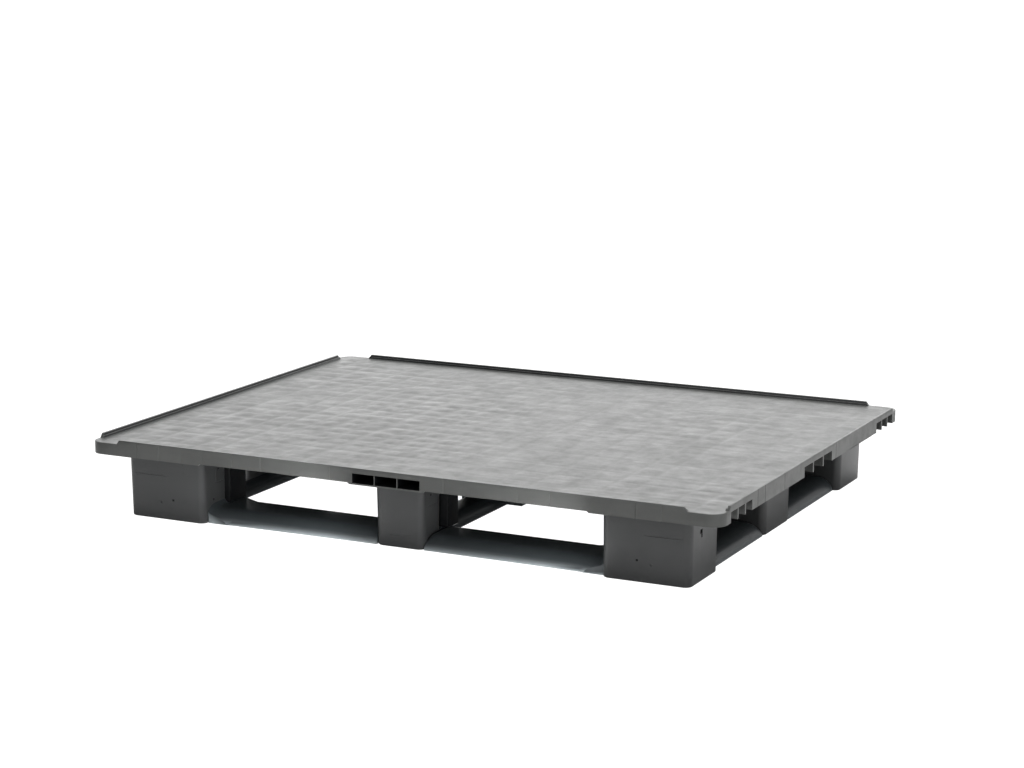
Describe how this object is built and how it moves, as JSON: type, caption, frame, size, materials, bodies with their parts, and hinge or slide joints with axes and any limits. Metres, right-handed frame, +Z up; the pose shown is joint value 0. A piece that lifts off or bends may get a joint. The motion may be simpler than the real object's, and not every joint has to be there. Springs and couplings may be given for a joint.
{
  "type": "plastic pallet",
  "caption": "Closed-deck plastic pallet: smooth top with low edge rims, block feet and flat runners below in a frame with a centre bar, open to forks on every side.",
  "frame": {"origin": "on the floor, below the middle of the deck", "axes": "+X along the long side, +Y along the short side from the front to the back, +Z up"},
  "size_m": [1.3, 1, 0.154],
  "materials": {
    "deck_plastic": "matt moulded polyethylene, fine grain",
    "foot_plastic": "matt moulded polyethylene, fine grain",
    "post_plastic": "satin black moulded polyethylene",
    "runner_plastic": "satin blue-black moulded polyethylene"
  },
  "bodies": {
    "root": {"top_deck": "deck_plastic", "front_left_foot": "foot_plastic", "front_right_foot": "foot_plastic", "back_left_foot": "foot_plastic", "back_right_foot": "foot_plastic", "front_middle_foot": "foot_plastic", "back_middle_foot": "foot_plastic", "left_middle_foot": "foot_plastic", "right_middle_foot": "foot_plastic", "centre_post": "post_plastic", "front_left_post": "post_plastic", "front_right_post": "post_plastic", "back_left_post": "post_plastic", "back_right_post": "post_plastic", "front_middle_post": "post_plastic", "back_middle_post": "post_plastic", "left_middle_post": "post_plastic", "right_middle_post": "post_plastic", "front_runner": "runner_plastic", "back_runner": "runner_plastic", "right_front_runner": "runner_plastic", "right_back_runner": "runner_plastic", "left_back_runner": "runner_plastic", "left_front_runner": "runner_plastic", "centre_runner": "runner_plastic"}
  },
  "joints": []
}
